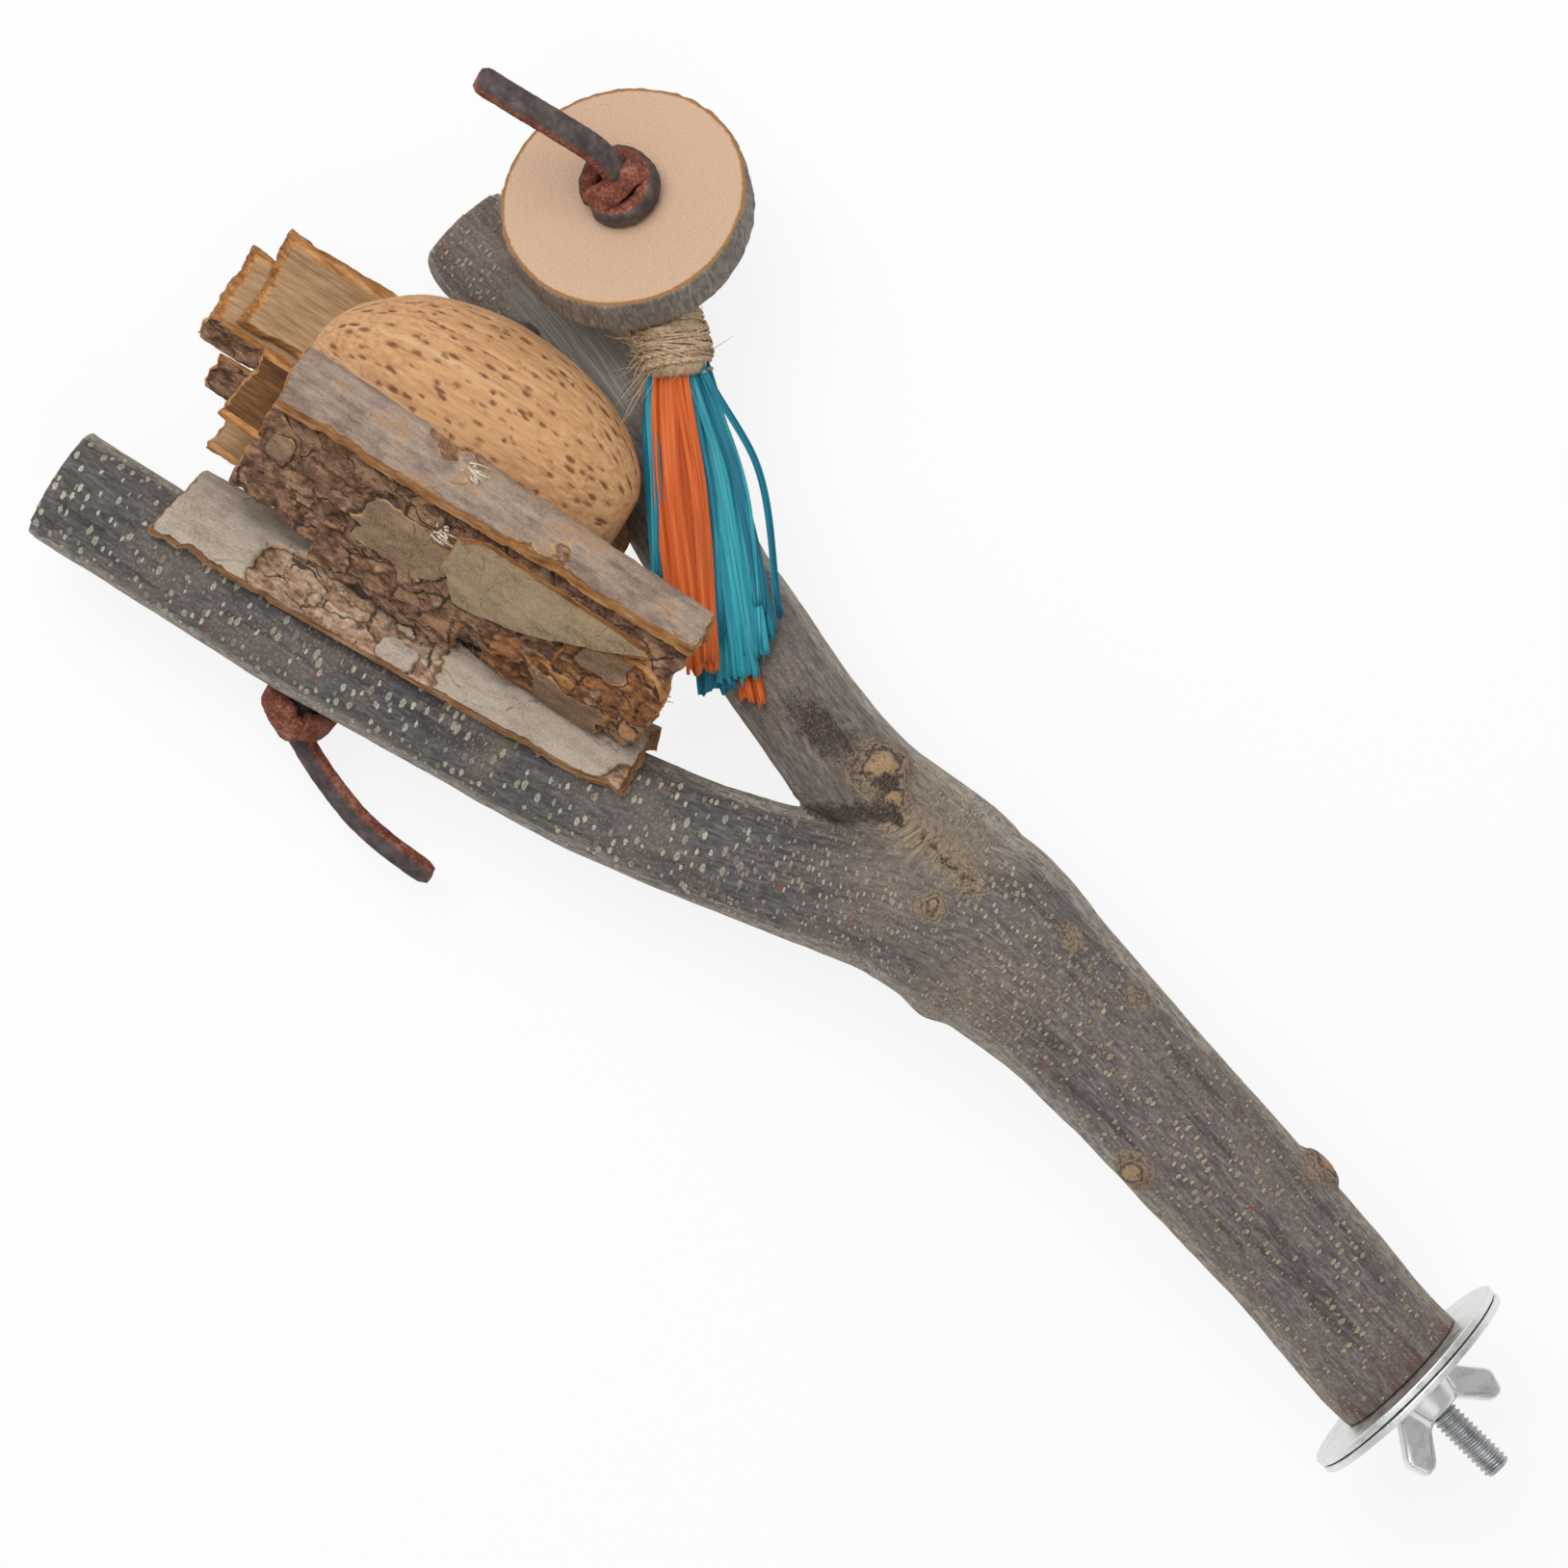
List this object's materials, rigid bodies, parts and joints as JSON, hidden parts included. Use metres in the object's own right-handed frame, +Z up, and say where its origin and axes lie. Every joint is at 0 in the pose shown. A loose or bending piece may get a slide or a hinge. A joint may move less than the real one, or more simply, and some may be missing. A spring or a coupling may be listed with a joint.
{
  "type": "bird perch",
  "caption": "Clamp-on bird perch: a forked natural branch with bark, a nut shell and a wood slice laced across its prongs, a dyed fibre tassel, and a stud with wing nut at the butt.",
  "frame": {"origin": "on the stud's axis, in the plane between the two washers where the cage bars are clamped", "axes": "+X along the trunk from the clamp to the fork, +Z up out of the plane of the fork, +Y toward the front prong"},
  "size_m": [0.3653, 0.1656, 0.073],
  "materials": {
    "branch_bark": "natural bark with pale lenticels",
    "zinc": "bright zinc plate",
    "lace_leather": "suede-like cut lace",
    "slice_wood": "sanded end grain, bark on the rim",
    "shell": "raw pitted nut shell",
    "pale_bark": "raw flaking bark",
    "dark_bark": "raw fibrous bark",
    "teal_fibre": "dyed palm strip",
    "orange_fibre": "dyed palm strip",
    "jute": "hairy twine"
  },
  "bodies": {
    "branch": {"forked_branch": "branch_bark", "hanger_bolt": "zinc", "lace_run": "lace_leather", "lace_lower_knot": "lace_leather", "lace_lower_tail": "lace_leather", "lace_upper_knot": "lace_leather", "lace_upper_tail": "lace_leather", "bark_slab": "pale_bark", "bark_scroll": "dark_bark", "bark_trough_inner": "dark_bark", "bark_trough_outer": "dark_bark"},
    "inner_washer": {"inner_washer": "zinc"},
    "outer_washer": {"outer_washer": "zinc"},
    "wing_nut": {"wing_nut": "zinc"},
    "nut_shell": {"nut_shell": "shell"},
    "wood_slice": {"wood_slice": "slice_wood"},
    "tassel": {"jute_tie": "jute", "jute_hanger": "jute", "tassel_teal_left": "teal_fibre", "tassel_orange": "orange_fibre", "tassel_teal_right": "teal_fibre"}
  },
  "joints": [
    {"name": "inner_washer_spin", "type": "hinge", "parent": "branch", "child": "inner_washer", "pos_m": [0, 0, 0], "axis": [-1, 0, 0], "continuous": true},
    {"name": "outer_washer_slide", "type": "slide", "parent": "branch", "child": "outer_washer", "axis": [-1, 0, 0], "range_m": [0, 0.01016]},
    {"name": "wing_nut_turn", "type": "hinge", "parent": "outer_washer", "child": "wing_nut", "pos_m": [0, 0, 0], "axis": [-1, 0, 0], "range_deg": [0, 2881]},
    {"name": "nut_shell_rock", "type": "hinge", "parent": "branch", "child": "nut_shell", "pos_m": [0.2777, -0.00423, 0.0075], "axis": [0.1518, -0.6906, -0.7071], "range_deg": [-4, 4]},
    {"name": "wood_slice_spin", "type": "hinge", "parent": "branch", "child": "wood_slice", "pos_m": [0.28747, -0.06075, 0.01], "axis": [0.4017, -0.1755, 0.8988], "continuous": true},
    {"name": "tassel_swing", "type": "hinge", "parent": "branch", "child": "tassel", "pos_m": [0.28747, -0.06075, 0.01], "axis": [0.4017, -0.1755, 0.8988], "range_deg": [-2, 20]}
  ],
  "couplings": [
    {"joint": "wing_nut_turn", "follows": "outer_washer_slide", "rad_per_m": 4947.4}
  ]
}
